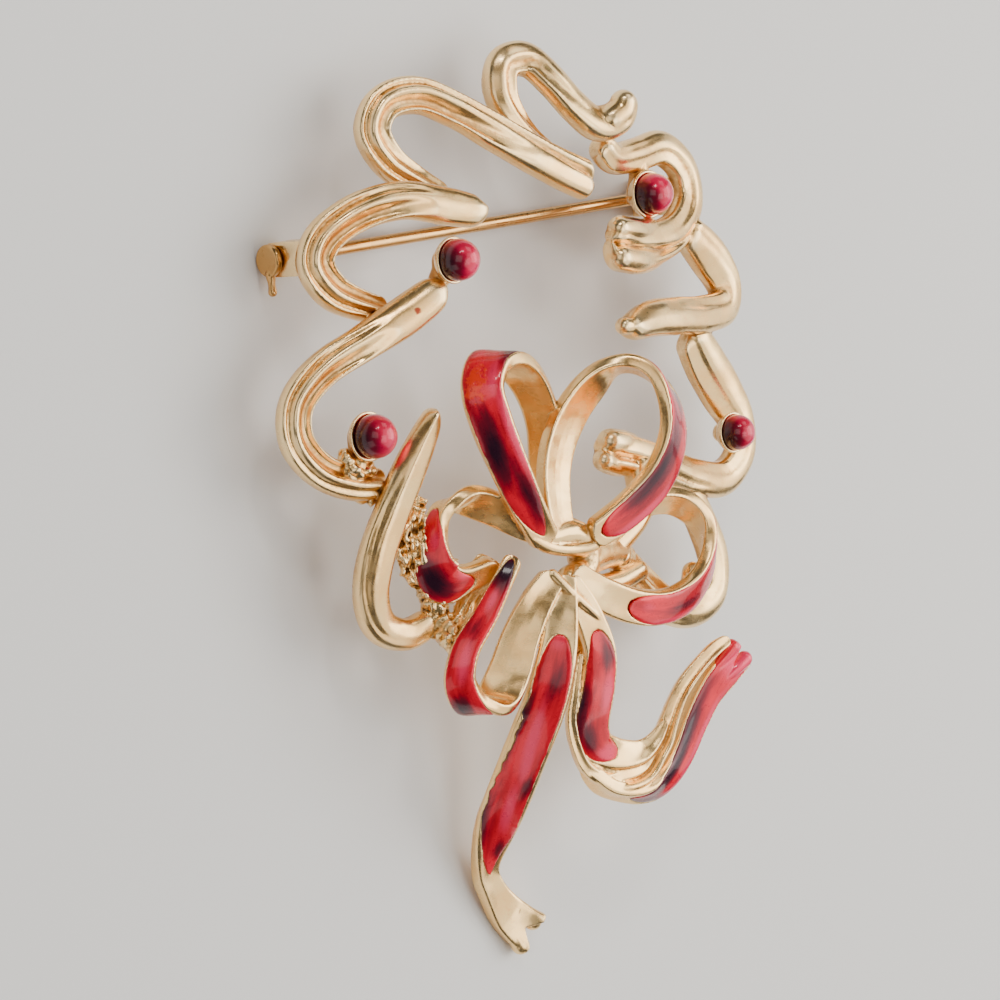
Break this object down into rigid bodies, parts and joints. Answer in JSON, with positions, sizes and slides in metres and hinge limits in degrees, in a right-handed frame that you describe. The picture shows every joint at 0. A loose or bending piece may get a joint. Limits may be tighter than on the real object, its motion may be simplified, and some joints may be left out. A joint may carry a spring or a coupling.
{
  "type": "christmas wreath brooch",
  "caption": "Cast gilt wreath brooch: a garland of ribbon curls with a raised red-enamelled ribbon bow, enamelled berries, and a pin and catch on the back.",
  "frame": {"origin": "middle of the outline, on the surface that the brooch lies on", "axes": "+X to the right, +Y up the brooch (its longest side, from the long tail to the top curl), +Z out of its face, away from the pin"},
  "size_m": [0.0442, 0.0604, 0.0128],
  "materials": {
    "gilt_metal": "polished gold plate, worn and slightly tarnished in its recesses",
    "bow_enamel": "translucent glossy crimson enamel with darker patches",
    "berry_enamel": "glossy magenta red enamel",
    "pin_wire": "gilt wire, satin"
  },
  "bodies": {
    "root": {"gilt_casting": "gilt_metal", "enamel_loop_upper_left": "bow_enamel", "enamel_loop_upper_right": "bow_enamel", "enamel_loop_side_left": "bow_enamel", "enamel_loop_side_right": "bow_enamel", "enamel_loop_lower": "bow_enamel", "enamel_tail_long": "bow_enamel", "enamel_tail_wavy": "bow_enamel", "enamel_tail_rising": "bow_enamel", "berry_left_upper": "berry_enamel", "berry_left_lower": "berry_enamel", "berry_right_upper": "berry_enamel", "berry_right_lower": "berry_enamel", "pin_stem": "pin_wire", "catch_lever": "pin_wire"}
  },
  "joints": []
}
